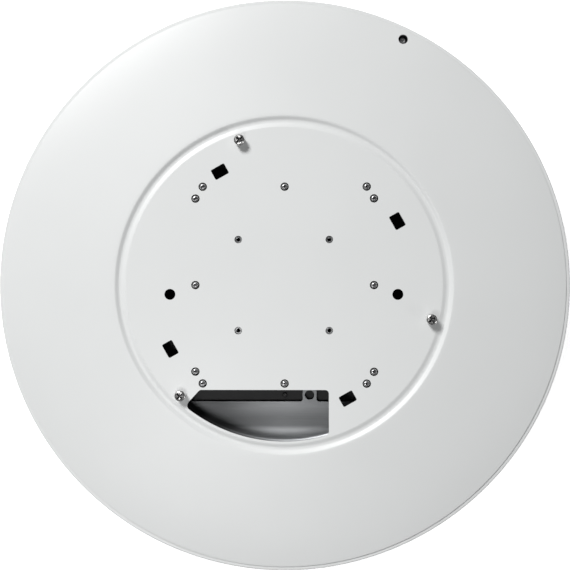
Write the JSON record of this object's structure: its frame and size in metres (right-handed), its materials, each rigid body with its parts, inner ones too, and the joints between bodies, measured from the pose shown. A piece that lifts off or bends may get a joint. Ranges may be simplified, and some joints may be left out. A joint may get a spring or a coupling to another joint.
{
  "type": "ceiling array microphone",
  "caption": "Round white ceiling unit seen from its back: stamped cover with ring groove, square-pattern mounting plate, hanger posts, recessed cable bay; perforated front grille.",
  "frame": {"origin": "centre of the grille face, on the plane it rests on", "axes": "+Z points to the ceiling, out of the mounting plate; -Y runs from the centre to the cable bay; +X completes the frame"},
  "size_m": [0.632, 0.632, 0.06],
  "materials": {
    "powder_coat": "white satin powder coat",
    "grille_coat": "white satin powder coat on perforated sheet",
    "foam": "black open-cell foam",
    "zinc_steel": "bright zinc",
    "circuit_board": "green solder mask",
    "light_diffuser": "frosted",
    "dark_zinc": "dark zinc",
    "black_steel": "black satin paint",
    "black_plastic": "fine texture",
    "nickel": "nickel plate",
    "brushed_aluminium": "brushed along X",
    "ribbon": "grey ribbon"
  },
  "bodies": {
    "housing": {"back_cover": "powder_coat", "mounting_frame": "zinc_steel", "bayonet_pin_1": "zinc_steel", "bayonet_pin_2": "zinc_steel", "bayonet_pin_3": "zinc_steel", "vesa_insert_1": "zinc_steel", "vesa_insert_2": "zinc_steel", "vesa_insert_3": "zinc_steel", "vesa_insert_4": "zinc_steel", "board_standoff_1": "zinc_steel", "board_standoff_2": "zinc_steel", "board_standoff_3": "zinc_steel", "board_standoff_4": "zinc_steel", "ethernet_jack_shell": "zinc_steel", "processor_shield": "zinc_steel", "hub_board": "circuit_board", "main_board": "circuit_board", "mic_board_1": "circuit_board", "mic_board_2": "circuit_board", "mic_board_3": "circuit_board", "mic_board_4": "circuit_board", "mic_board_5": "circuit_board", "mic_board_6": "circuit_board", "mic_board_7": "circuit_board", "mic_board_8": "circuit_board", "baffle_screw": "dark_zinc", "cover_screw_1": "dark_zinc", "cover_screw_2": "dark_zinc", "cover_screw_3": "dark_zinc", "cover_screw_4": "dark_zinc", "cover_screw_5": "dark_zinc", "cover_screw_6": "dark_zinc", "cover_screw_7": "dark_zinc", "cover_screw_8": "dark_zinc", "cover_screw_9": "dark_zinc", "cover_screw_10": "dark_zinc", "cover_screw_11": "dark_zinc", "cover_screw_12": "dark_zinc", "power_capacitor_1": "dark_zinc", "power_capacitor_2": "dark_zinc", "inner_chassis": "black_steel", "lock_sleeve": "black_plastic", "array_carrier": "black_plastic", "cable_baffle": "black_plastic", "ethernet_jack_insert": "black_plastic", "reset_switch": "black_plastic", "poe_transformer": "black_plastic", "hanger_post_1": "nickel", "hanger_post_2": "nickel", "hanger_post_3": "nickel", "cable_tray": "brushed_aluminium", "heat_spreader": "brushed_aluminium", "ribbon_cable": "ribbon"},
    "front_grille": {"grille": "grille_coat", "acoustic_foam": "foam", "twist_ring": "zinc_steel", "status_led_board": "circuit_board", "light_pipe": "light_diffuser"},
    "reset_button": {"reset_button": "black_plastic"},
    "lock_screw": {"lock_screw": "dark_zinc"}
  },
  "joints": [
    {"name": "grille_twist", "type": "hinge", "parent": "housing", "child": "front_grille", "pos_m": [0, 0, 0], "axis": [0, 0, -1], "range_deg": [0, 8]},
    {"name": "reset_press", "type": "slide", "parent": "housing", "child": "reset_button", "axis": [0, 1, 0], "range_m": [0, 0.0008], "stiffness_N_per_m": 1500, "springref_m": -0.0002},
    {"name": "lock_screw_turn", "type": "hinge", "parent": "housing", "child": "lock_screw", "pos_m": [0.13174, 0.27131, 0.0308], "axis": [0, 0, 1], "continuous": true}
  ]
}
